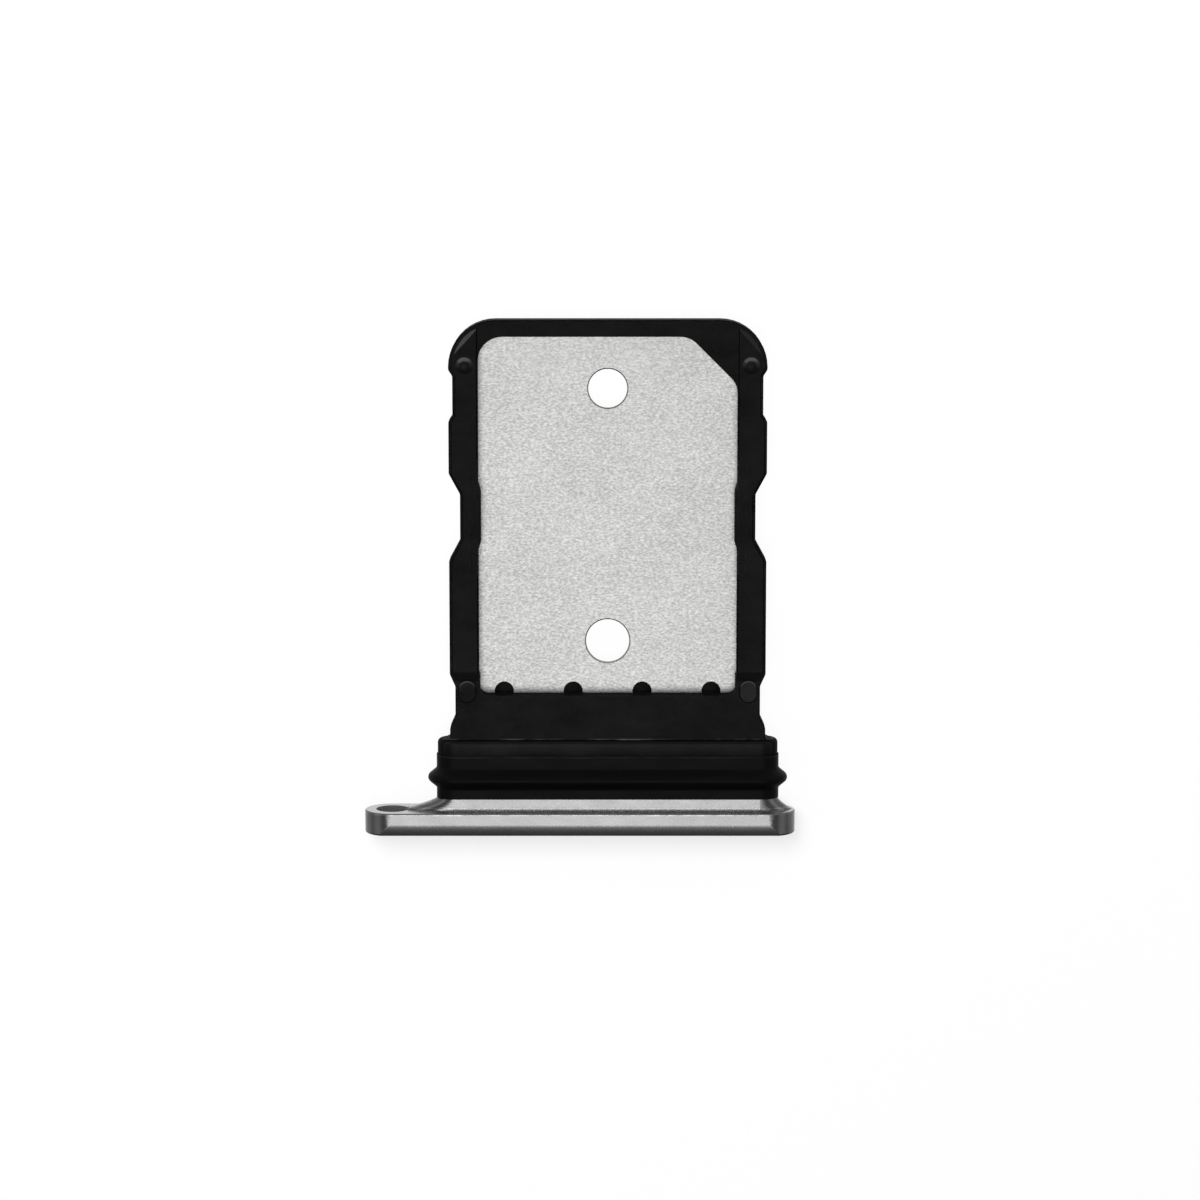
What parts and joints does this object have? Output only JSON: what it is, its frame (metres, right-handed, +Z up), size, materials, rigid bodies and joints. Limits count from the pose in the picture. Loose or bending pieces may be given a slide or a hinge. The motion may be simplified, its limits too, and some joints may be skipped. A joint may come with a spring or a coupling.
{
  "type": "sim card tray",
  "caption": "Flat phone tray for a nano SIM card: dark metal face bar with an eject pin hole, beaded rubber seal, and a black moulded frame round a steel floor with a cut-corner card pocket.",
  "frame": {"origin": "under the middle of the tray's box, level with the lower side of the bar", "axes": "+X along the bar, away from the eject hole; +Y the way the tray slides in, from the bar to the tip; +Z up, out of the card pocket"},
  "size_m": [0.015, 0.0178, 0.0019],
  "materials": {
    "anodised_bar": "fine bead-blasted and anodised dark grey, satin",
    "silicone_seal": "smooth moulded black silicone",
    "moulded_frame": "fine eroded black moulding",
    "steel_plate": "bright matt rolled stainless sheet"
  },
  "bodies": {
    "root": {"face_bar": "anodised_bar", "seal_ring": "silicone_seal", "tray_frame": "moulded_frame", "floor_plate": "steel_plate"}
  },
  "joints": []
}
